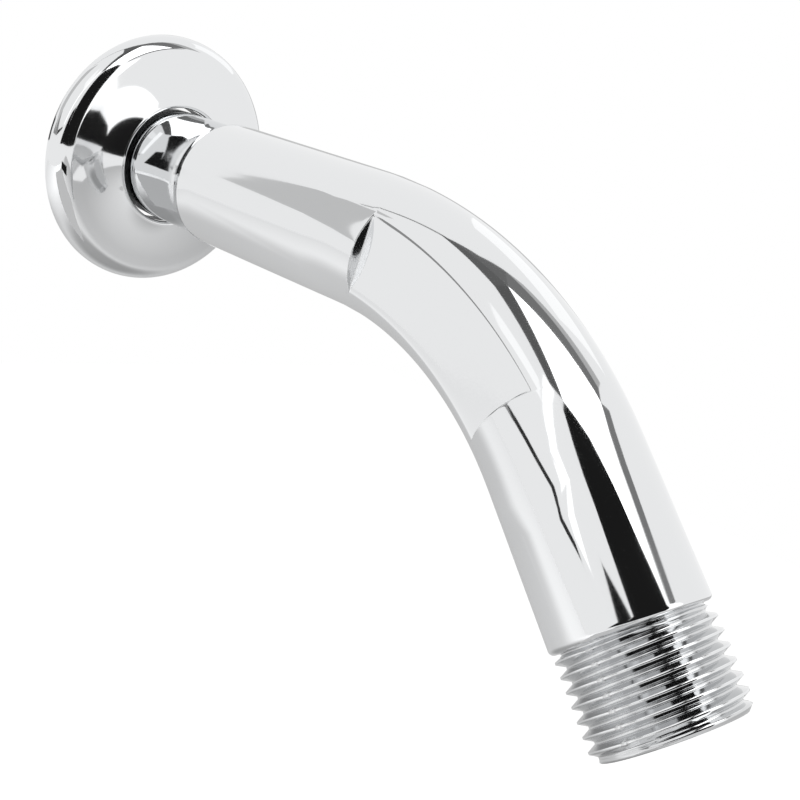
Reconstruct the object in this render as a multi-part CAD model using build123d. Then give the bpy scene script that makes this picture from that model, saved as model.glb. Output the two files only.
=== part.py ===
from build123d import *
import math
import os

# Shower arm: a bent tube with a pipe thread at each end, and a loose bell flange that hides the wall hole.
# Millimetres. The origin is on the inlet axis, in the plane of the wall. +X leads out of the wall, +Z is up,
# and the arm bends down in the XZ plane.

# Pipe thread, 1/2 inch, the same at both ends
thread_major_d = 20.955
thread_len = 13.3
thread_depth = 1.16
thread_tip = 1.0
thread_runout = 0.3

# Arm, measured along its centre line from the wall
bend_start = 57.5
bend_radius = 63.0
bend_angle = 45.0
outlet_straight = 22.2
neck_len = 20.0
inlet_set_back = 3.0

# Arm sections, taken from the thread that they carry
body_proud = 0.32
neck_relief = 0.4
wall_at_thread = 3.4

# Shoulder between neck and body, and the rounded body end
cove_radius = 2.5
shoulder_round = 0.6
body_end_round = 0.75

# Flats on both sides of the bend, which lean in towards the underside
flat_depth = 1.87
flat_angle = 31.0
flat_lean = 3.0

# Bell flange
flange_d = 46.0
flange_h = 6.1
flange_sheet = 1.5
rim_lip = 0.45
rim_round = 3.6
rim_sweep = 83.0
face_run = 1.6
crown_round = 0.6
collar_back = 1.2
collar_wall = 1.0

# Clearance of the flange hole over the inlet thread, on the radius
flange_slip = 0.17

thread_r = thread_major_d / 2
root_r = thread_r - thread_depth
body_r = thread_r + body_proud
neck_r = thread_r - neck_relief
water_r = thread_r - wall_at_thread
flat_y = body_r - flat_depth
hole_r = thread_r + flange_slip
collar_r = hole_r + collar_wall
rim_r = flange_d / 2
mouth_chamfer = wall_at_thread * 0.25
mouth_r = water_r + mouth_chamfer


def at(point):
    return (point[0], 0, point[1])


def turned(edges):
    return revolve(make_face(edges), Axis.X, 360)


def threaded_end(root_x, tip_x):
    way = 1 if tip_x > root_x else -1
    crest_x = root_x + way * (thread_runout + thread_depth * 0.3)
    return [
        (root_x, root_r),
        (root_x + way * thread_runout, root_r),
        (crest_x, thread_r),
        (tip_x - way * thread_tip, thread_r),
        (tip_x, thread_r - thread_tip),
    ]


# Inlet side: thread, neck, coved shoulder and the first straight, turned about the inlet axis
inlet_tip = -inlet_set_back - thread_len
inlet_corners = threaded_end(-inlet_set_back, inlet_tip)
cove_turn = math.acos(1 - (body_r - neck_r) / (cove_radius + shoulder_round))
cove_half = cove_turn / 2
cove_low = (
    neck_len + cove_radius * math.sin(cove_half),
    neck_r + cove_radius * (1 - math.cos(cove_half)),
)
cove_mid = (
    neck_len + cove_radius * math.sin(cove_turn),
    neck_r + cove_radius * (1 - math.cos(cove_turn)),
)
cove_end = (neck_len + (cove_radius + shoulder_round) * math.sin(cove_turn), body_r)
cove_high = (
    cove_end[0] - shoulder_round * math.sin(cove_half),
    body_r - shoulder_round * (1 - math.cos(cove_half)),
)
neck_from = (-inlet_set_back + neck_r - root_r, neck_r)
inlet_side = turned(
    [
        Polyline(*[at(p) for p in inlet_corners[::-1]], at(neck_from), at((neck_len, neck_r))),
        ThreePointArc(at((neck_len, neck_r)), at(cove_low), at(cove_mid)),
        ThreePointArc(at(cove_mid), at(cove_high), at(cove_end)),
        Polyline(
            at(cove_end),
            at((bend_start, body_r)),
            at((bend_start, 0)),
            at((inlet_tip, 0)),
            at(inlet_corners[-1]),
        ),
    ]
)

# Bend: the round section swung about the bend axis
bend_axis = Axis((bend_start, 0, -bend_radius), (0, 1, 0))
section = Plane(origin=(bend_start, 0, 0), x_dir=(0, 1, 0), z_dir=(1, 0, 0))
bend = revolve(section * Circle(body_r), bend_axis, bend_angle)

# Outlet side: straight, rounded end and thread, turned about X and then laid along the outlet axis
outlet_tip = outlet_straight + thread_len
outlet_corners = threaded_end(outlet_straight, outlet_tip)
end_from = (outlet_straight - body_end_round, body_r)
end_to = (outlet_straight, body_r - body_end_round)
end_mid = (
    end_from[0] + body_end_round * math.sin(math.pi / 4),
    end_to[1] + body_end_round * math.cos(math.pi / 4),
)
bend_rad = math.radians(bend_angle)
outlet_start = (
    bend_start + bend_radius * math.sin(bend_rad),
    0,
    -bend_radius * (1 - math.cos(bend_rad)),
)
outlet_place = Location(outlet_start, (0, bend_angle, 0))
outlet_side = outlet_place * turned(
    [
        Line(at((0, body_r)), at(end_from)),
        ThreePointArc(at(end_from), at(end_mid), at(end_to)),
        Polyline(
            at(end_to),
            *[at(p) for p in outlet_corners],
            at((outlet_tip, 0)),
            at((0, 0)),
            at((0, body_r)),
        ),
    ]
)

# Waterway: one round passage from mouth to mouth, each mouth chamfered
inlet_water = turned(
    Polyline(
        at((inlet_tip, 0)),
        at((inlet_tip, mouth_r)),
        at((inlet_tip + mouth_chamfer, water_r)),
        at((bend_start, water_r)),
        at((bend_start, 0)),
        close=True,
    )
)
bend_water = revolve(section * Circle(water_r), bend_axis, bend_angle)
outlet_water = outlet_place * turned(
    Polyline(
        at((0, 0)),
        at((0, water_r)),
        at((outlet_tip - mouth_chamfer, water_r)),
        at((outlet_tip, mouth_r)),
        at((outlet_tip, 0)),
        close=True,
    )
)

# Flats: an arched slab off each side of the bend, square to the centre line at both ends
slab_w = 2 * flat_depth
slab_place = section * Rot(0, 0, -flat_lean) * Pos(flat_y + slab_w / 2, 0)
slab_section = slab_place * Rectangle(slab_w, 2.4 * body_r)
slab = revolve(slab_section, bend_axis, flat_angle)
slab = slab.rotate(bend_axis, (bend_angle - flat_angle) / 2)

arm = inlet_side + bend + outlet_side
arm = arm - slab - mirror(slab, Plane.XZ)
arm = arm - (inlet_water + bend_water + outlet_water)

# Bell flange: from a rounded rim over a short sloping face, in a hollow sweep, up to the rolled crown
# round the hole. The inside, which the wall hides, follows it in plain cones, with a collar behind the hole.
sweep = math.radians(rim_sweep)
crown_c = (flange_h - crown_round, hole_r + crown_round)


def on_rim(angle, radius):
    return (rim_lip + radius * math.sin(angle), rim_r - rim_round + radius * math.cos(angle))


rim_end = on_rim(sweep, rim_round)
lean = (math.sin(sweep), math.cos(sweep))
face_end = (rim_end[0] + face_run * lean[1], rim_end[1] - face_run * lean[0])
gap = (face_end[0] - crown_c[0], face_end[1] - crown_c[1])
gap_sq = gap[0] ** 2 + gap[1] ** 2
gap_lean = gap[0] * lean[0] + gap[1] * lean[1]
hollow_r = (gap_sq - crown_round**2) / (2 * (crown_round - gap_lean))
hollow_c = (face_end[0] + hollow_r * lean[0], face_end[1] + hollow_r * lean[1])


def on_hollow(angle, radius):
    return (hollow_c[0] - radius * math.cos(angle), hollow_c[1] - radius * math.sin(angle))


def on_crown(angle):
    return (crown_c[0] + crown_round * math.cos(angle), crown_c[1] + crown_round * math.sin(angle))


hollow_from = math.atan2(hollow_c[1] - face_end[1], hollow_c[0] - face_end[0])
hollow_to = math.atan2(hollow_c[1] - crown_c[1], hollow_c[0] - crown_c[0])
hollow_mid = (hollow_from + hollow_to) / 2
crown_from = hollow_to
crown_to = -math.pi / 2
inner_rim = rim_round - flange_sheet
inner_hollow = hollow_r + flange_sheet
collar_top = on_hollow(math.asin((hollow_c[1] - collar_r) / inner_hollow), inner_hollow)
wall_flange = turned(
    [
        Line(at((0, rim_r)), at((rim_lip, rim_r))),
        ThreePointArc(at((rim_lip, rim_r)), at(on_rim(sweep / 2, rim_round)), at(rim_end)),
        Line(at(rim_end), at(face_end)),
        ThreePointArc(
            at(face_end),
            at(on_hollow(hollow_mid, hollow_r)),
            at(on_crown(crown_from)),
        ),
        ThreePointArc(
            at(on_crown(crown_from)),
            at(on_crown((crown_from + crown_to) / 2)),
            at(on_crown(crown_to)),
        ),
        Polyline(
            at(on_crown(crown_to)),
            at((collar_back, hole_r)),
            at((collar_back, collar_r)),
            at(collar_top),
            at(on_hollow(hollow_mid, inner_hollow)),
            at(on_hollow(hollow_from, inner_hollow)),
            at(on_rim(sweep, inner_rim)),
            at(on_rim(sweep / 2, inner_rim)),
            at((rim_lip, rim_r - flange_sheet)),
            at((0, rim_r - flange_sheet)),
            at((0, rim_r)),
        ),
    ]
)

os.makedirs("parts", exist_ok=True)
export_step(arm, "parts/arm.step")
export_step(wall_flange, "parts/wall_flange.step")
for name, shape in (("arm", arm), ("wall_flange", wall_flange)):
    box = shape.bounding_box()
    print(name, "solids", len(shape.solids()), "volume", round(shape.volume, 1), box.min, box.max)
print("outlet start", [round(v, 3) for v in outlet_start], "collar top", collar_top, "hollow", hollow_r)
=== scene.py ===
import bpy
import bmesh
import math
from mathutils import Matrix, Vector


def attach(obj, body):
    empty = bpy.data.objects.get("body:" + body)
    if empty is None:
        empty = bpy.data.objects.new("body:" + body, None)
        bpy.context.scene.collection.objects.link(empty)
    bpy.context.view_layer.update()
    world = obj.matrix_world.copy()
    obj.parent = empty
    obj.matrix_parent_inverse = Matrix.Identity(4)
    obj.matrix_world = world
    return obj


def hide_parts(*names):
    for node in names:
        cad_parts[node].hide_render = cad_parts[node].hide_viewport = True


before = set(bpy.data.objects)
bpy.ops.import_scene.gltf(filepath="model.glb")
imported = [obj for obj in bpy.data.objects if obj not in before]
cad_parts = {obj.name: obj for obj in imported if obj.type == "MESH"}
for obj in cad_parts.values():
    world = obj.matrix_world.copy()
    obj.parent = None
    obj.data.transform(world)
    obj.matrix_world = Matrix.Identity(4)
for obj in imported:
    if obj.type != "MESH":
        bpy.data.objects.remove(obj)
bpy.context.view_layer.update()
mm = 0.001
weldGap = 0.004  # mm, points nearer than this become one
print("frame loaded, nodes", sorted(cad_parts))


def hexColour(code):  # sRGB hex to the linear values that a shader takes
    values = [int(code[i:i + 2], 16) / 255 for i in (1, 3, 5)]
    return [v / 12.92 if v <= 0.04045 else ((v + 0.055) / 1.055) ** 2.4 for v in values] + [1.0]


def addNode(tree, kind, links=None, **settings):  # links: socket name or number -> value or output
    node = tree.nodes.new(kind)
    for name, value in settings.items():
        setattr(node, name, value)
    for socket, value in (links or {}).items():
        if isinstance(value, bpy.types.NodeSocket):
            tree.links.new(value, node.inputs[socket])
        else:
            node.inputs[socket].default_value = value
    return node


def steps(first, last, count):  # evenly spaced values from first to last, both included
    return [first + (last - first) * k / count for k in range(count + 1)]


# Chrome plate on moulded ABS: a mirror, barely softened by handling, whose reflections sway a little
# because the moulded wall under the plate is not dead true
brightLook = {
    "tint": "#e6e7e8", "roughLow": 0.035, "roughHigh": 0.085,
    "patchMm": 14.0, "patchDetail": 4.0, "patchBand": (0.35, 0.75),  # breadth and spread of the haze
    "swayMm": 17.0, "swayHeight": 0.012,                             # the moulding's waves, mm
}
# Painted shade in the recesses, the waterway's bore and the flange's hole and hollow inside: a dark tint,
# dull and rough
recessShadeLook = {
    "tint": "#4a4b4d", "roughLow": 0.34, "roughHigh": 0.5,
    "patchMm": 5.0, "patchDetail": 3.0, "patchBand": (0.3, 0.7),
}
# Painted shade down the flanks and roots of the thread: a tint a little greyer than on the crests, and a
# little softer
grooveShadeLook = {
    "tint": "#d8d9da", "roughLow": 0.04, "roughHigh": 0.09,
    "patchMm": 2.0, "patchDetail": 3.0, "patchBand": (0.3, 0.7),
}


def chromePlate(name, look):
    material = bpy.data.materials.new(name)
    material.use_nodes = True
    tree = material.node_tree
    shader = tree.nodes["Principled BSDF"]
    shader.inputs["Base Color"].default_value = hexColour(look["tint"])
    shader.inputs["Metallic"].default_value = 1.0
    place = addNode(tree, "ShaderNodeTexCoord").outputs["Object"]
    haze = addNode(tree, "ShaderNodeTexNoise", {
        "Vector": place, "Scale": 1 / (look["patchMm"] * mm), "Detail": look["patchDetail"]})
    bandLow, bandHigh = look["patchBand"]
    rough = addNode(tree, "ShaderNodeMapRange", {
        "Value": haze.outputs[0], "From Min": bandLow, "From Max": bandHigh,
        "To Min": look["roughLow"], "To Max": look["roughHigh"]})
    tree.links.new(rough.outputs[0], shader.inputs["Roughness"])
    if "swayMm" in look:
        sway = addNode(tree, "ShaderNodeTexNoise", {
            "Vector": place, "Scale": 1 / (look["swayMm"] * mm), "Detail": 1.0})
        bump = addNode(tree, "ShaderNodeBump", {
            "Strength": 1.0, "Distance": look["swayHeight"] * mm, "Height": sway.outputs[0]})
        tree.links.new(bump.outputs[0], shader.inputs["Normal"])
    return material


bright = chromePlate("chromePlatedAbsBright", brightLook)
recessShade = chromePlate("chromePlatedAbsRecessShade", recessShadeLook)
grooveShade = chromePlate("chromePlatedAbsGrooveShade", grooveShadeLook)
print("plate ready: bright, dull, groove")

# Pipe thread, the same at both ends, in mm from the body to the tip
threadSize = {
    "pitch": 1.814, "crestR": 10.4775, "depth": 1.16, "length": 13.3,
    "crestShare": 0.16, "rootShare": 0.16,   # flats of crest and root, as shares of half a pitch
    "crestPhase": 0.623,                     # pitches by which the helix is shifted
    "runOutFrom": 0.15, "runOutTo": 0.7,     # where the first turn rises out of the root
    "tipLength": 1.0, "lipLength": 0.7, "lipEase": 0.35,  # chamfer and plain lip at the tip
    "rootFillet": 0.3, "filletBow": 2.5,     # hollow into the body's end face
    "nickDepth": 0.18, "nickWidth": 0.035,   # parting line: share of the depth, sine of its half width
}
threadRows = {"around": 224, "rowsPerPitch": 12}

# Arm, in mm along the centre line from the wall; its radii are worked out from the thread's
armSize = {
    "bodyProud": 0.32, "neckRelief": 0.4, "wallAtThread": 3.4, "mouthChamfer": 0.85,
    "setBack": 3.0, "neckLen": 20.0, "bendStart": 57.5, "bendRadius": 63.0, "bendAngle": 45.0,
    "outletStraight": 22.2, "coveR": 2.5, "shoulderR": 0.6, "neckRound": 0.15, "endRound": 0.75,
    "flatDepth": 1.87, "flatLean": 3.0,      # flats: their depth, and degrees of lean to the underside
    "flatFrom": 7.0, "flatTo": 38.0,         # degrees of bend
    "flatEdge": 0.14, "stepRun": 0.34,       # softness of the flat's edges and of its upper step
    "lowStepRun": 1.4, "lowStepLead": 0.5, "lowBow": 1.0,  # lower step: a longer round, and bowed
    "flatClear": 0.7,                        # how far past the body the flat's plane rises at its ends
}
threadR = threadSize["crestR"]
rootR = threadR - threadSize["depth"]
tipR = threadR - threadSize["tipLength"]
bodyR = threadR + armSize["bodyProud"]
neckR = threadR - armSize["neckRelief"]
waterR = threadR - armSize["wallAtThread"]
mouthR = waterR + armSize["mouthChamfer"]
flatY = bodyR - armSize["flatDepth"]
flatLean = math.radians(armSize["flatLean"])
bendStart = armSize["bendStart"]
bendRadius = armSize["bendRadius"]
bendTurn = math.radians(armSize["bendAngle"])
bendEnd = bendStart + bendRadius * bendTurn
flatStart = bendStart + bendRadius * math.radians(armSize["flatFrom"])
flatEnd = bendStart + bendRadius * math.radians(armSize["flatTo"])
bodyEnd = bendEnd + armSize["outletStraight"]
outletTip = bodyEnd + threadSize["length"]
inletStart = -armSize["setBack"]
inletTip = inletStart - threadSize["length"]


def centreLine(s):  # point, side and up of the arm's axis at s mm from the wall
    angle = min(max((s - bendStart) / bendRadius, 0), bendTurn)
    onBend = Vector((bendStart + bendRadius * math.sin(angle), 0, bendRadius * (math.cos(angle) - 1)))
    along = Vector((math.cos(angle), 0, -math.sin(angle)))
    straight = s - bendStart - bendRadius * angle
    return onBend + along * straight, Vector((0, 1, 0)), Vector((math.sin(angle), 0, math.cos(angle)))


def roundCorners(corners):  # (s, r, round) corners to a profile with arcs, and guard points beside them
    arcSteps, guard = 6, 0.12
    points = []
    for i, (s, r, size) in enumerate(corners):
        here = Vector((s, r))
        if size <= 0:
            points.append(here)
            continue
        toLast = Vector(corners[i - 1][:2]) - here
        toNext = Vector(corners[i + 1][:2]) - here
        lastWay, nextWay = toLast.normalized(), toNext.normalized()
        half = toLast.angle(toNext) / 2
        cut = size / math.tan(half)
        arcFrom, arcTo = here + lastWay * cut, here + nextWay * cut
        centre = here + (lastWay + nextWay).normalized() * size / math.sin(half)
        if toLast.length > cut + 2.5 * guard:
            points.append(arcFrom + lastWay * guard)
        spread = (arcFrom - centre).angle_signed(arcTo - centre)
        points += [centre + Matrix.Rotation(-a, 2) @ (arcFrom - centre) for a in steps(0, spread, arcSteps)]
        if toNext.length > cut + 2.5 * guard:
            points.append(arcTo + nextWay * guard)
    return [(p.x, p.y) for p in points]


def flatAngles():  # ring angles, crowded at the four edges of the flats
    half, near = math.acos(flatY / bodyR), math.radians(3.2)
    onFlat, onEdge = 10, 12
    onRound = threadRows["around"] // 4 - onFlat - onEdge

    def quarter(edge):
        angles = steps(0, edge - near, onFlat)[:-1] + steps(edge - near, edge + near, onEdge)[:-1]
        return angles + steps(edge + near, math.pi / 2, onRound)[:-1]

    top, low = quarter(half - flatLean), quarter(half + flatLean)
    angles = top + [math.pi - a for a in reversed(top[1:] + [math.pi / 2])]
    angles += [math.pi + a for a in low]
    return angles + [2 * math.pi - a for a in reversed(low[1:] + [math.pi / 2])]


def smooth(value, low, high):
    t = min(max((value - low) / (high - low), 0), 1)
    return t * t * (3 - 2 * t)


def flatAt(s, z):  # distance of the flat's plane from the axis, which rises clear of the body at both steps
    size = armSize
    halfHigh = math.sqrt(bodyR ** 2 - flatY ** 2)
    bow = size["lowBow"] * min(abs(z) / halfHigh, 1) ** 2
    lowFrom = flatEnd - size["lowStepLead"] + bow
    risen = min(max((s - lowFrom) / size["lowStepRun"], 0), 1)
    sunk = smooth(s, flatStart, flatStart + size["stepRun"]) * (1 - risen) ** 3
    return flatY + (1 - sunk) * (bodyR - flatY + size["flatClear"])


def ring(mesh, s, r, angles=None):  # angles are given along the bend, where the flats cut the round
    point, side, up = centreLine(s)
    edge = armSize["flatEdge"]
    verts = []
    for angle in angles or steps(0, 2 * math.pi, threadRows["around"])[:-1]:
        y, z = r * math.cos(angle), r * math.sin(angle)
        if angles:  # soft minimum square to the flat, so that its edge is a small round
            plane = flatAt(s, z)
            out = abs(y) * math.cos(flatLean) - z * math.sin(flatLean)
            low = min(out, plane)
            cut = out - low + edge * math.log(math.exp((low - out) / edge) + math.exp((low - plane) / edge))
            y -= math.copysign(cut * math.cos(flatLean), y)
            z += cut * math.sin(flatLean)
        verts.append(mesh.verts.new((point + side * y + up * z) * mm))
    return verts


def bridge(mesh, first, second, plate=0):  # plate: 0 bright, 1 painted recess shade, 2 painted groove shade
    count = len(first)
    for i in range(count):
        j = (i + 1) % count
        mesh.faces.new((first[i], first[j], second[j], second[i])).material_index = plate


def finishPiece(name, mesh, plates):  # faces outward and smooth, plated and put in the scene
    bmesh.ops.recalc_face_normals(mesh, faces=mesh.faces)
    for face in mesh.faces:
        face.smooth = True
    openEdges = sum(len(e.link_faces) != 2 for e in mesh.edges)
    data = bpy.data.meshes.new(name)
    mesh.to_mesh(data)
    mesh.free()
    for plate in plates:
        data.materials.append(plate)
    piece = bpy.data.objects.new(name, data)
    bpy.context.scene.collection.objects.link(piece)
    print(name, "built, faces", len(data.polygons), "open edges", openEdges)
    return piece


def threadTree():
    tree = bpy.data.node_groups.new("pipeThread", "GeometryNodeTree")
    tree.interface.new_socket("Geometry", in_out="OUTPUT", socket_type="NodeSocketGeometry")
    for label in threadSize:
        tree.interface.new_socket(label, in_out="INPUT", socket_type="NodeSocketFloat")
    for label in threadRows:
        tree.interface.new_socket(label, in_out="INPUT", socket_type="NodeSocketInt")
    tree.interface.new_socket("plate", in_out="INPUT", socket_type="NodeSocketMaterial")
    given = addNode(tree, "NodeGroupInput").outputs
    calc, remap = "ShaderNodeMath", "ShaderNodeMapRange"
    # a sheet whose rows lie along the helix: x is the turn, y is the row
    perLength = addNode(tree, calc, {0: given["length"], 1: given["pitch"]}, operation="DIVIDE").outputs[0]
    more = addNode(tree, calc, {0: perLength, 1: 2.0}, operation="ADD").outputs[0]
    turns = addNode(tree, calc, {0: more}, operation="CEIL").outputs[0]
    rows = addNode(tree, calc, {0: turns, 1: given["rowsPerPitch"], 2: 1.0}, operation="MULTIPLY_ADD")
    columns = addNode(tree, calc, {0: given["around"], 1: 1.0}, operation="ADD")
    sheet = addNode(tree, "GeometryNodeMeshGrid", {
        "Size X": 1.0, "Size Y": 1.0, "Vertices X": columns.outputs[0], "Vertices Y": rows.outputs[0]})
    here = addNode(tree, "GeometryNodeInputPosition").outputs[0]
    spot = addNode(tree, "ShaderNodeSeparateXYZ", {0: here}).outputs
    turn = addNode(tree, calc, {0: spot["X"], 1: 0.5}, operation="ADD").outputs[0]
    row = addNode(tree, calc, {0: spot["Y"], 1: 0.5}, operation="ADD").outputs[0]
    even = addNode(tree, calc, {0: row, 1: turns}, operation="MULTIPLY").outputs[0]
    # rows stand in pairs at the corners of crest and root, which leaves the flanks straight
    halves = addNode(tree, calc, {0: even, 1: 2.0}, operation="MULTIPLY").outputs[0]
    whole = addNode(tree, calc, {0: halves}, operation="FLOOR").outputs[0]
    part = addNode(tree, calc, {0: halves}, operation="FRACT").outputs[0]
    bunch = addNode(tree, "ShaderNodeFloatCurve", {"Value": part})
    corners = bunch.mapping.curves[0].points
    pair, low, high = 0.03, threadSize["rootShare"], 1 - threadSize["crestShare"]
    for k, share in enumerate((low, low + pair, 0.5, high - pair, high), 1):
        corners.new(k / 6, share)
    for corner in corners:
        corner.handle_type = "VECTOR"
    bunch.mapping.update()
    bunched = addNode(tree, calc, {0: whole, 1: bunch.outputs[0]}, operation="ADD").outputs[0]
    pitches = addNode(tree, calc, {0: bunched, 1: 0.5}, operation="MULTIPLY").outputs[0]
    # distance along the axis, held between the two ends
    lead = addNode(tree, calc, {0: pitches, 1: turn}, operation="ADD").outputs[0]
    shift = addNode(tree, calc, {0: given["crestPhase"], 1: 1.0}, operation="ADD").outputs[0]
    fromRoot = addNode(tree, calc, {0: lead, 1: shift}, operation="SUBTRACT").outputs[0]
    free = addNode(tree, calc, {0: fromRoot, 1: given["pitch"]}, operation="MULTIPLY").outputs[0]
    held = addNode(tree, "ShaderNodeClamp", {"Value": free, "Min": 0.0, "Max": given["length"]})
    along = held.outputs[0]
    # tooth height from the distance to the root line, rising out of the root at the first turn
    zigzag = addNode(tree, calc, {0: pitches, 1: 0.5}, operation="PINGPONG").outputs[0]
    toCrest = addNode(tree, calc, {0: zigzag, 1: 2.0}, operation="MULTIPLY").outputs[0]
    crestFrom = addNode(tree, calc, {0: 1.0, 1: given["crestShare"]}, operation="SUBTRACT").outputs[0]
    tooth = addNode(tree, remap, {
        "Value": toCrest, "From Min": given["rootShare"], "From Max": crestFrom}).outputs[0]
    runOut = addNode(tree, remap, {
        "Value": along, "From Min": given["runOutFrom"], "From Max": given["runOutTo"]},
        interpolation_type="SMOOTHSTEP").outputs[0]
    # the mould's parting line leaves a shallow nick across each crest, on both sides
    radians = addNode(tree, calc, {0: turn, 1: 2 * math.pi}, operation="MULTIPLY").outputs[0]
    sine = addNode(tree, calc, {0: radians}, operation="SINE").outputs[0]
    cosine = addNode(tree, calc, {0: radians}, operation="COSINE").outputs[0]
    aside = addNode(tree, calc, {0: sine}, operation="ABSOLUTE").outputs[0]
    nick = addNode(tree, remap, {
        "Value": aside, "From Min": 0.0, "From Max": given["nickWidth"],
        "To Min": given["nickDepth"], "To Max": 0.0}).outputs[0]
    uncut = addNode(tree, calc, {0: 1.0, 1: nick}, operation="SUBTRACT").outputs[0]
    kept = addNode(tree, calc, {0: tooth, 1: uncut}, operation="MINIMUM").outputs[0]
    lift = addNode(tree, calc, {0: kept, 1: runOut}, operation="MULTIPLY").outputs[0]
    root = addNode(tree, calc, {0: given["crestR"], 1: given["depth"]}, operation="SUBTRACT").outputs[0]
    cut = addNode(tree, calc, {0: lift, 1: given["depth"], 2: root}, operation="MULTIPLY_ADD").outputs[0]
    # plain lip and chamfer at the tip
    toTip = addNode(tree, calc, {0: given["length"], 1: along}, operation="SUBTRACT").outputs[0]
    tip = addNode(tree, calc, {0: given["crestR"], 1: given["tipLength"]}, operation="SUBTRACT").outputs[0]
    chamfer = addNode(tree, calc, {0: tip, 1: toTip}, operation="ADD").outputs[0]
    lipFrom = addNode(tree, calc, {0: given["lipLength"], 1: given["lipEase"]}, operation="ADD").outputs[0]
    lip = addNode(tree, remap, {
        "Value": toTip, "From Min": lipFrom, "From Max": given["lipLength"], "To Min": root, "To Max": tip},
        interpolation_type="SMOOTHSTEP").outputs[0]
    lipped = addNode(tree, calc, {0: cut, 1: lip}, operation="MAXIMUM").outputs[0]
    # hollow fillet into the body's end face
    near = addNode(tree, remap, {
        "Value": along, "From Min": 0.0, "From Max": given["rootFillet"],
        "To Min": 1.0, "To Max": 0.0}).outputs[0]
    bowed = addNode(tree, calc, {0: near, 1: given["filletBow"]}, operation="POWER").outputs[0]
    fillet = addNode(tree, calc, {0: bowed, 1: given["rootFillet"], 2: root}, operation="MULTIPLY_ADD")
    filled = addNode(tree, calc, {0: lipped, 1: fillet.outputs[0]}, operation="MAXIMUM").outputs[0]
    radius = addNode(tree, calc, {0: filled, 1: chamfer}, operation="MINIMUM").outputs[0]
    # wind the sheet round the axis, close its seam and plate it
    across = addNode(tree, calc, {0: radius, 1: cosine}, operation="MULTIPLY").outputs[0]
    upward = addNode(tree, calc, {0: radius, 1: sine}, operation="MULTIPLY").outputs[0]
    point = addNode(tree, "ShaderNodeCombineXYZ", {"X": along, "Y": across, "Z": upward}).outputs[0]
    metres = addNode(tree, "ShaderNodeVectorMath", {0: point, "Scale": mm}, operation="SCALE").outputs[0]
    wound = addNode(tree, "GeometryNodeSetPosition", {"Geometry": sheet.outputs["Mesh"], "Position": metres})
    welded = addNode(tree, "GeometryNodeMergeByDistance", {
        "Geometry": wound.outputs[0], "Distance": weldGap * mm})
    shaded = addNode(tree, "GeometryNodeSetShadeSmooth", {
        "Geometry": welded.outputs[0], "Shade Smooth": True})
    real = addNode(tree, "GeometryNodeRealizeInstances", {"Geometry": shaded.outputs[0]})
    plated = addNode(tree, "GeometryNodeSetMaterial", {
        "Geometry": real.outputs[0], "Material": given["plate"]})
    addNode(tree, "NodeGroupOutput", {"Geometry": plated.outputs[0]})
    return tree


def threadMesh(tree, fillet):
    holder = bpy.data.objects.new("threadHolder", bpy.data.meshes.new("threadSeed"))
    bpy.context.scene.collection.objects.link(holder)
    modifier = holder.modifiers.new("thread", "NODES")
    modifier.node_group = tree
    values = {**threadSize, **threadRows, "rootFillet": fillet, "plate": bright}
    for socket in tree.interface.items_tree:
        if socket.in_out == "INPUT":
            modifier[socket.identifier] = values[socket.name]
    bpy.context.view_layer.update()
    wound = holder.evaluated_get(bpy.context.evaluated_depsgraph_get())
    mesh = bpy.data.meshes.new_from_object(wound)
    bpy.data.objects.remove(holder)
    return mesh


def addThreads(mesh):  # each is wound along +X and then laid on its end of the arm
    tree = threadTree()
    outletPlace = Matrix.Translation(centreLine(bodyEnd)[0] * mm) @ Matrix.Rotation(bendTurn, 4, "Y")
    inletPlace = Matrix.Translation(Vector((inletStart, 0, 0)) * mm) @ Matrix.Rotation(math.pi, 4, "Z")
    noFillet, crestBand = 0.001, 0.03
    for place, fillet in ((outletPlace, threadSize["rootFillet"]), (inletPlace, noFillet)):
        thread = threadMesh(tree, fillet)
        for face in thread.polygons:
            lowest = min(thread.vertices[v].co.yz.length for v in face.vertices)
            onCrest = lowest > (threadR - crestBand) * mm
            # faces off the crests take the groove plate, painted shade down the flanks and roots
            face.material_index = 0 if onCrest else 2
        thread.transform(place)
        mesh.from_mesh(thread)
        bpy.data.meshes.remove(thread)


def inletProfile():  # root of the thread, neck, coved shoulder and the start of the body
    neckLen, coveR, shoulderR = armSize["neckLen"], armSize["coveR"], armSize["shoulderR"]
    before, after, beyond = 0.3, 0.15, 3.0  # guard rings, which keep the shading of the straights plain
    turn = math.acos(1 - (bodyR - neckR) / (coveR + shoulderR))
    coveEnd = neckLen + (coveR + shoulderR) * math.sin(turn)
    profile = roundCorners([
        (inletStart, rootR, 0), (inletStart + neckR - rootR, neckR, armSize["neckRound"]),
        (neckLen - before, neckR, 0)])
    for a in steps(0, turn, 10):  # hollow arc off the neck
        profile.append((neckLen + coveR * math.sin(a), neckR + coveR * (1 - math.cos(a))))
    for a in steps(turn, 0, 8)[1:]:  # small round on to the body
        profile.append((coveEnd - shoulderR * math.sin(a), bodyR - shoulderR * (1 - math.cos(a))))
    return profile + [(coveEnd + after, bodyR), (coveEnd + beyond, bodyR)]


def bendSpots():  # where the bend's rings stand, crowded at the steps of the flats
    guard, blend, lead = 0.2, 2.5, 4.0
    stepRun = armSize["stepRun"]
    topTo = flatStart + stepRun
    lowFrom = flatEnd - armSize["lowStepLead"]
    lowTo = lowFrom + armSize["lowStepRun"] + armSize["lowBow"]
    spots = [bendStart - lead, bendStart, bendStart + blend, flatStart - 3 * guard, flatStart - guard]
    spots += steps(flatStart, topTo, 12) + [topTo + guard]
    spots += steps(topTo + 3.5 * guard, flatEnd - stepRun - 3.5 * guard, 36)
    spots += [lowFrom - guard] + steps(lowFrom, lowTo, 44) + [lowTo + guard]
    return spots + [bendEnd - 2 * blend, bendEnd - blend, bendEnd, bendEnd + lead]


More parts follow.
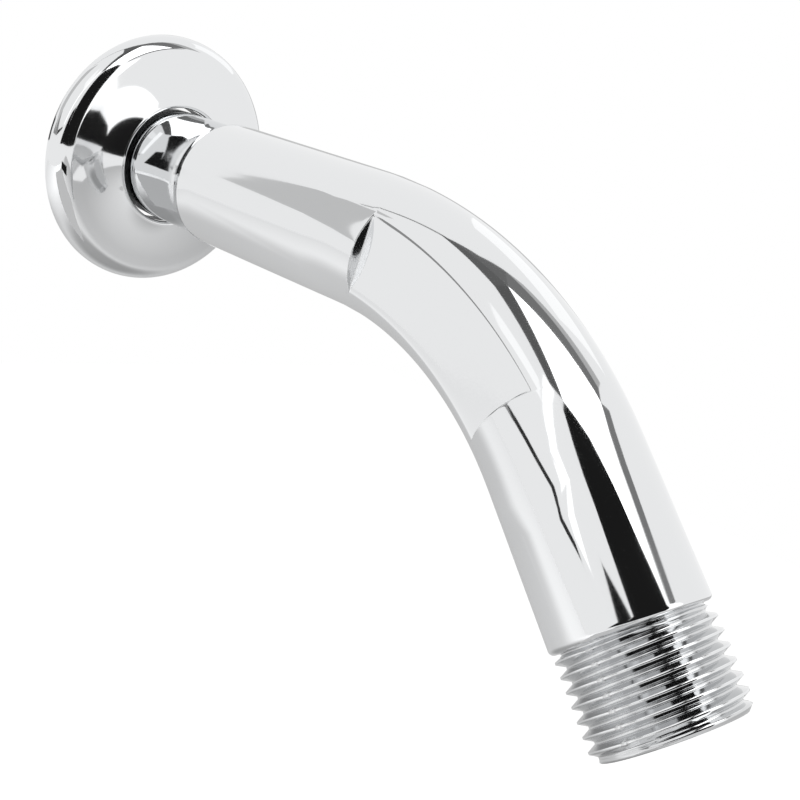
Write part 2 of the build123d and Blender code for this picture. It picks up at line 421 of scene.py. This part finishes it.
def endProfile():  # straight, rounded body end and its face, down to the thread's fillet
    endRound = armSize["endRound"]
    endR, filletR = bodyR - endRound, rootR + threadSize["rootFillet"]
    beyond, guard, faceGuard, filletGuard = 8.0, 0.2, 0.08, 0.05
    profile = [(bendEnd + beyond, bodyR), (bodyEnd - endRound - guard, bodyR)]
    for a in steps(0, math.pi / 2, 8):
        profile.append((bodyEnd - endRound * (1 - math.sin(a)), endR + endRound * math.cos(a)))
    return profile + [(bodyEnd, r) for r in (endR - faceGuard, filletR + filletGuard, filletR)]


def waterProfile():  # outlet face, waterway with its chamfered mouths, inlet face
    chamfer = armSize["mouthChamfer"]
    lipRound, throatRound = 0.12, 0.3
    profile = roundCorners([
        (outletTip, tipR, 0), (outletTip, mouthR, lipRound),
        (outletTip - chamfer, waterR, throatRound), (bendEnd, waterR, 0)])
    profile += [(s, waterR) for s in steps(bendEnd, bendStart, 16)[1:]]
    return profile + roundCorners([
        (bendStart, waterR, 0), (inletTip + chamfer, waterR, throatRound),
        (inletTip, mouthR, lipRound), (inletTip, tipR, 0)])[1:]


def buildArm():
    mesh = bmesh.new()
    crowded = flatAngles()
    outer = [ring(mesh, s, r) for s, r in inletProfile()]
    outer += [ring(mesh, s, bodyR, crowded) for s in bendSpots()]
    outer += [ring(mesh, s, r) for s, r in endProfile()]
    for first, second in zip(outer, outer[1:]):
        bridge(mesh, second, first)
    water = waterProfile()
    inner = [ring(mesh, s, r) for s, r in water]
    brightMouth = 0.2  # mm of each mouth left bright; deeper in, the waterway takes the painted recess shade
    for i, (first, second) in enumerate(zip(inner, inner[1:])):
        widest = max(water[i][1], water[i + 1][1])
        bridge(mesh, second, first, plate=int(widest < mouthR - brightMouth))
    addThreads(mesh)
    bmesh.ops.remove_doubles(mesh, verts=mesh.verts, dist=weldGap * mm)
    bmesh.ops.dissolve_degenerate(mesh, dist=weldGap / 4 * mm, edges=mesh.edges)
    return finishPiece("platedArm", mesh, (bright, recessShade, grooveShade))


arm = buildArm()
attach(arm, "arm")
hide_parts("arm")

# Bell flange, in mm from the wall face
flangeSize = {
    "rimR": 23.0, "height": 6.1, "sheet": 1.5, "lip": 0.45, "rimRound": 3.6, "rimSweep": 83.0,
    "faceRun": 1.6, "crownRound": 0.6, "slip": 0.17,  # slip: clearance of the hole over the thread
    "collarBack": 1.2, "collarWall": 1.0, "edgeRound": 0.2, "collarFillet": 0.3, "around": 256,
}


def onArc(centre, radius, angle):
    return (centre.x + radius * math.cos(angle), centre.y + radius * math.sin(angle))


def flangeProfile():  # (x, r) points round the section, and the first and last of its stretch with painted shade: hole, collar and the bell's inside
    size = flangeSize
    rimR, rimRound, crownRound = size["rimR"], size["rimRound"], size["crownRound"]
    lip, sheet, back, edge = size["lip"], size["sheet"], size["collarBack"], size["edgeRound"]
    holeR = threadR + size["slip"]
    sweep = math.radians(size["rimSweep"])
    rimC = Vector((lip, rimR - rimRound))
    crownC = Vector((size["height"] - crownRound, holeR + crownRound))
    # the hollow touches both the sloping face and the crown
    lean = Vector((math.sin(sweep), math.cos(sweep)))
    faceEnd = rimC + lean * rimRound + Vector((lean.y, -lean.x)) * size["faceRun"]
    gap = faceEnd - crownC
    hollowR = (gap.dot(gap) - crownRound ** 2) / (2 * (crownRound - gap.dot(lean)))
    hollowC = faceEnd + lean * hollowR
    hollowFrom = math.atan2(hollowC.y - faceEnd.y, hollowC.x - faceEnd.x)
    hollowTo = math.atan2(hollowC.y - crownC.y, hollowC.x - crownC.x)
    rimTurn = math.pi / 2 - sweep
    outside = [onArc(rimC, rimRound, a) for a in steps(math.pi / 2, rimTurn, 26)]
    outside += [onArc(hollowC, -hollowR, a) for a in steps(hollowFrom, hollowTo, 30)]
    outside += [onArc(crownC, crownRound, a) for a in steps(hollowTo, -math.pi / 2, 18)[1:]]
    # inside, a sheet deeper, from the collar behind the hole to the foot on the wall
    innerR, collarR, wallR = hollowR + sheet, holeR + size["collarWall"], rimR - sheet
    collarTop = math.asin((hollowC.y - collarR) / innerR)
    inside = [onArc(hollowC, -innerR, a) for a in steps(collarTop, hollowFrom, 16)]
    inside += [onArc(rimC, rimRound - sheet, a) for a in steps(rimTurn, math.pi / 2, 14)[1:]]
    holeGuard = outside[-1][0] - 0.8
    hole = roundCorners([
        outside[-1] + (0,), (holeGuard, holeR, 0), (back, holeR, edge),
        (back, collarR, edge), inside[0] + (size["collarFillet"],), inside[2] + (0,)])
    foot = roundCorners([(lip, wallR, 0), (0, wallR, edge), (0, rimR, edge), (lip, rimR, 0)])
    profile = outside + hole[1:] + inside[3:] + foot[1:-1]
    return profile, len(outside), len(profile) - len(foot) + 2


def buildFlange():
    profile, recessShadeFrom, recessShadeTo = flangeProfile()
    mesh = bmesh.new()
    turns = steps(0, 2 * math.pi, flangeSize["around"])[:-1]
    rings = []
    for x, r in profile:
        rings.append([mesh.verts.new((x * mm, r * mm * math.cos(a), r * mm * math.sin(a))) for a in turns])
    for i, first in enumerate(rings):
        # the hole, the collar and the hollow inside of the bell take the painted recess shade
        bridge(mesh, first, rings[(i + 1) % len(rings)], plate=int(recessShadeFrom <= i < recessShadeTo))
    bmesh.ops.remove_doubles(mesh, verts=mesh.verts, dist=weldGap / 2 * mm)
    return finishPiece("platedFlange", mesh, (bright, recessShade))


flange = buildFlange()
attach(flange, "flange")
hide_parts("wall_flange")

# Floor well below the part, in mm; the camera sees it lifted to white, with the part's shadow kept. For the
# metal alone it carries painted light, a glow whiter towards the front left, and painted shade, greyer under
# the part
floorLook = {
    "low": (-800, -800), "high": (1500, 1000), "height": -320, "paint": "#f4f4f4", "lift": 0.5,
    # sweep: painted light, a glow seen by the metal alone
    "sweepAlong": (-0.4, -1.0, 0.0), "sweepFrom": 200, "sweepTo": 480, "sweepPaintedLight": 0.35,
    # shade: painted shade under the part, seen by the metal alone
    "shadeAt": (110, 40, -320), "shadeFrom": 100, "shadeTo": 320, "shadePaint": "#b2b2b2",
}


def stageMesh(name, corners, material):
    data = bpy.data.meshes.new(name)
    data.from_pydata([Vector(c) * mm for c in corners], [], [list(range(len(corners)))])
    data.materials.append(material)
    obj = bpy.data.objects.new(name, data)
    bpy.context.scene.collection.objects.link(obj)
    return obj


def floorPaint(look):
    material = bpy.data.materials.new("mattWhitePaint")  # flat paint, no gloss, shows a soft shadow
    material.use_nodes = True
    tree = material.node_tree
    shader = tree.nodes["Principled BSDF"]
    shader.inputs["Roughness"].default_value = 0.9
    shader.inputs["Specular IOR Level"].default_value = 0.0
    path = addNode(tree, "ShaderNodeLightPath").outputs
    place = addNode(tree, "ShaderNodeTexCoord").outputs["Object"]
    # painted shade for the metal only: greyer under the part
    away = addNode(tree, "ShaderNodeVectorMath", {
        0: place, 1: Vector(look["shadeAt"]) * mm}, operation="DISTANCE")
    shade = addNode(tree, "ShaderNodeMapRange", {
        "Value": away.outputs["Value"], "From Min": look["shadeFrom"] * mm, "From Max": look["shadeTo"] * mm,
        "To Min": 1.0, "To Max": 0.0}, interpolation_type="SMOOTHSTEP")
    paintedShadeMask = addNode(tree, "ShaderNodeMath", {
        0: path["Is Glossy Ray"], 1: shade.outputs[0]}, operation="MULTIPLY")
    paint = addNode(tree, "ShaderNodeMixRGB", {
        "Fac": paintedShadeMask.outputs[0], "Color1": hexColour(look["paint"]), "Color2": hexColour(look["shadePaint"])})
    tree.links.new(paint.outputs[0], shader.inputs["Base Color"])
    # painted light for the metal: a glow that turns the floor whiter towards the front left; for the camera
    # an even lift to white everywhere
    along = addNode(tree, "ShaderNodeVectorMath", {0: place, 1: look["sweepAlong"]}, operation="DOT_PRODUCT")
    sweep = addNode(tree, "ShaderNodeMapRange", {
        "Value": along.outputs["Value"], "From Min": look["sweepFrom"] * mm, "From Max": look["sweepTo"] * mm,
        "To Min": 0.0, "To Max": look["sweepPaintedLight"]}, interpolation_type="SMOOTHSTEP")
    seen = addNode(tree, "ShaderNodeMath", {0: path["Is Camera Ray"], 1: look["lift"]}, operation="MULTIPLY")
    lift = addNode(tree, "ShaderNodeMath", {
        0: path["Is Glossy Ray"], 1: sweep.outputs[0], 2: seen.outputs[0]}, operation="MULTIPLY_ADD")
    white = addNode(tree, "ShaderNodeEmission", {"Strength": lift.outputs[0]})
    both = addNode(tree, "ShaderNodeAddShader", {0: shader.outputs[0], 1: white.outputs[0]})
    tree.links.new(both.outputs[0], tree.nodes["Material Output"].inputs["Surface"])
    return material


def buildFloor():
    (left, front), (right, back) = floorLook["low"], floorLook["high"]
    corners = ((left, front), (right, front), (right, back), (left, back))
    stageMesh("studioFloor", [(x, y, floorLook["height"]) for x, y in corners], floorPaint(floorLook))


buildFloor()
print("floor laid")

# White room: camera and metal see plain white, matt things get less from it
roomLook = {"white": "#ffffff", "matt": 0.55}


def buildRoom():
    world = bpy.data.worlds.new("whiteRoom")
    bpy.context.scene.world = world
    world.use_nodes = True
    tree = world.node_tree
    path = addNode(tree, "ShaderNodeLightPath").outputs
    clear = addNode(tree, "ShaderNodeMath", {
        0: path["Is Glossy Ray"], 1: path["Is Transmission Ray"]}, operation="MAXIMUM")
    seen = addNode(tree, "ShaderNodeMath", {
        0: path["Is Camera Ray"], 1: clear.outputs[0]}, operation="MAXIMUM")
    level = addNode(tree, "ShaderNodeMapRange", {
        "Value": seen.outputs[0], "To Min": roomLook["matt"], "To Max": 1.0})
    sky = tree.nodes["Background"]
    sky.inputs["Color"].default_value = hexColour(roomLook["white"])
    tree.links.new(level.outputs[0], sky.inputs["Strength"])


buildRoom()
print("room white")

# Studio, in mm: a square softbox overhead, corner on, and a fill lamp that the metal does not show. Round
# them stand glowing panels seen by the metal alone, painted reflections of the dark frame round the softbox,
# its boom and the room
softbox = {"corner": (81, 7), "side": 388, "turn": -47.3, "height": 500, "glow": 1.45}
fillLamp = {"place": (300, -450, 450), "side": 300, "power": 3.5}
# the panels are painted reflections: glowing cards that only the metal sees, bright tones painted light,
# darker tones painted shade
panels = {  # corners and tone of what stands round the part, seen only in its reflections
    "frameNear": ([(-100, -100, 500), (60, -125, 500), (81, 7, 500), (-100, -88, 500)], 0.13),
    "frameLeft": ([(60, -125, 500), (275, -325, 500), (338, -275, 500), (81, 7, 500)], 0.11),
    "frameTurn": ([(-100, -100, 500), (81, 7, 500), (40, 130, 500), (-5, 15, 500)], 0.16),
    "frameRight": ([(40, 130, 500), (81, 7, 500), (375, 270, 500), (330, 360, 500)], 0.2),
    "frameSoft": ([(40, 130, 500), (330, 360, 500), (290, 470, 500), (70, 200, 500)], 0.5),
    "frameFar": ([(375, 270, 500), (640, 10, 500), (700, 70, 500), (385, 375, 500)], 0.22),
    "boom": ([(-410, -305, 500), (-100, -103, 500), (-100, -88, 500), (-410, -296, 500)], 0.3),
    "darkTop": ([(338, -330, 470), (345, -275, 500), (510, -100, 500), (510, -40, 389)], 0.012),
    "darkUpper": ([(338, -330, 470), (510, -40, 389), (345, -399, 205)], 0.012),
    "darkMiddle": ([(345, -399, 205), (510, -40, 389), (510, 25, 45), (300, -430, -45)], 0.012),
    "darkLow": ([(300, -430, -45), (510, 25, 45), (512, 28, -45)], 0.012),
    "darkLeft": ([(253, -438, 160), (335, -405, 195), (310, -430, -45), (165, -460, -45)], 0.012),
    "lowFlag": ([(343, -365, -136), (489, -164, -136), (489, -164, -180), (343, -365, -180)], 0.012),
    "rightStrip": ([(515, 28, -50), (560, 230, -50), (540, 150, 330), (515, -30, 400)], 1.4),
    "leftStrip": ([(130, -600, 90), (170, -600, 90), (460, -600, 923), (370, -600, 923)], 1.5),
    "frontPanel": ([(40, -330, 500), (230, -450, 500), (240, -650, 500), (40, -560, 500)], 1.2),
    "backPanel": ([(-300, 600, 340), (150, 600, 340), (150, 600, 800), (-300, 600, 800)], 1.2),
    "sideCard": ([(-150, -150, 55), (-60, -150, 5), (-100, -150, 245), (-194, -150, 205)], 0.62),
    "sideTail": ([(-440, -600, 0), (-98, -600, -5), (-98, -600, 35), (-440, -600, 300)], 0.3),
    "sideLine": ([(-98, -600, 0), (116, -600, 52), (116, -600, 72), (-98, -600, 35)], 0.03),
    "floorCloth": ([(140, -640, -316), (640, -640, -316), (640, -40, -316), (140, -40, -316)], 0.62),
    "edgeStrip": ([(-385, -307, -42), (-417, 227, -42), (-417, 227, 56), (-385, -307, 56)], 0.06),
    "greyWall": ([(-671, -436, -60), (-274, 752, -60), (-274, 752, 160), (-671, -436, 160)], 0.6),
}


def addLamp(name, side, power, place):
    data = bpy.data.lights.new(name, "AREA")
    data.shape = "SQUARE"
    data.size = side * mm
    data.energy = power
    lamp = bpy.data.objects.new(name, data)
    lamp.matrix_world = place
    lamp.visible_camera = False
    bpy.context.scene.collection.objects.link(lamp)
    return lamp


def addPanel(name, corners, tone):
    material = bpy.data.materials.new(name + "Cloth")
    material.use_nodes = True
    tree = material.node_tree
    # the tone is a glow that only glossy rays see: painted light where it is above 1, painted shade below
    glow = addNode(tree, "ShaderNodeEmission", {"Strength": tone})
    tree.links.new(glow.outputs[0], tree.nodes["Material Output"].inputs["Surface"])
    panel = stageMesh(name, corners, material)
    panel.visible_camera = False
    panel.visible_diffuse = False
    panel.visible_shadow = False
    panel.visible_transmission = False


def buildStudio():
    side = softbox["side"]
    turn = Matrix.Rotation(math.radians(softbox["turn"]), 4, "Z")
    middle = Vector((*softbox["corner"], softbox["height"])) + turn @ Vector((0.5, 0.5, 0)) * side
    power = softbox["glow"] * math.pi * (side * mm) ** 2  # an area lamp glows at power / (pi x area)
    addLamp("softbox", side, power, Matrix.Translation(middle * mm) @ turn)
    fillPlace = Matrix.Translation(Vector(fillLamp["place"]) * mm)
    fill = addLamp("fillLamp", fillLamp["side"], fillLamp["power"], fillPlace)
    fill.visible_glossy = False
    for name, (corners, tone) in panels.items():
        addPanel(name, corners, tone)
    print("studio set, panels", len(panels))


buildStudio()

# Camera that took the photo: place in mm, turns in degrees, lens and centre in the photo's pixels
cameraSize = {
    "place": (174.431, -124.348, 19.892), "pan": 40.787, "tilt": 80.713, "roll": 14.811,
    "focalPx": 1109.21, "centrePx": (400.0, 299.9), "imagePx": 800, "sensorMm": 36.0, "nearMm": 10.0,
}


def buildCamera():
    size = cameraSize
    imagePx, (centreX, centreY) = size["imagePx"], size["centrePx"]
    data = bpy.data.cameras.new("photoCamera")
    data.sensor_width = size["sensorMm"]
    data.lens = size["focalPx"] / imagePx * size["sensorMm"]
    data.shift_x = (imagePx / 2 - centreX) / imagePx
    data.shift_y = (centreY - imagePx / 2) / imagePx
    data.clip_start = size["nearMm"] * mm
    camera = bpy.data.objects.new("photoCamera", data)
    pan, tilt, roll = (
        Matrix.Rotation(math.radians(size[turn]), 4, axis)
        for turn, axis in (("pan", "Z"), ("tilt", "X"), ("roll", "Z")))
    camera.matrix_world = Matrix.Translation(Vector(size["place"]) * mm) @ pan @ tilt @ roll
    bpy.context.scene.collection.objects.link(camera)
    bpy.context.scene.camera = camera


buildCamera()
bpy.context.scene.view_settings.view_transform = "Standard"
print("camera set")
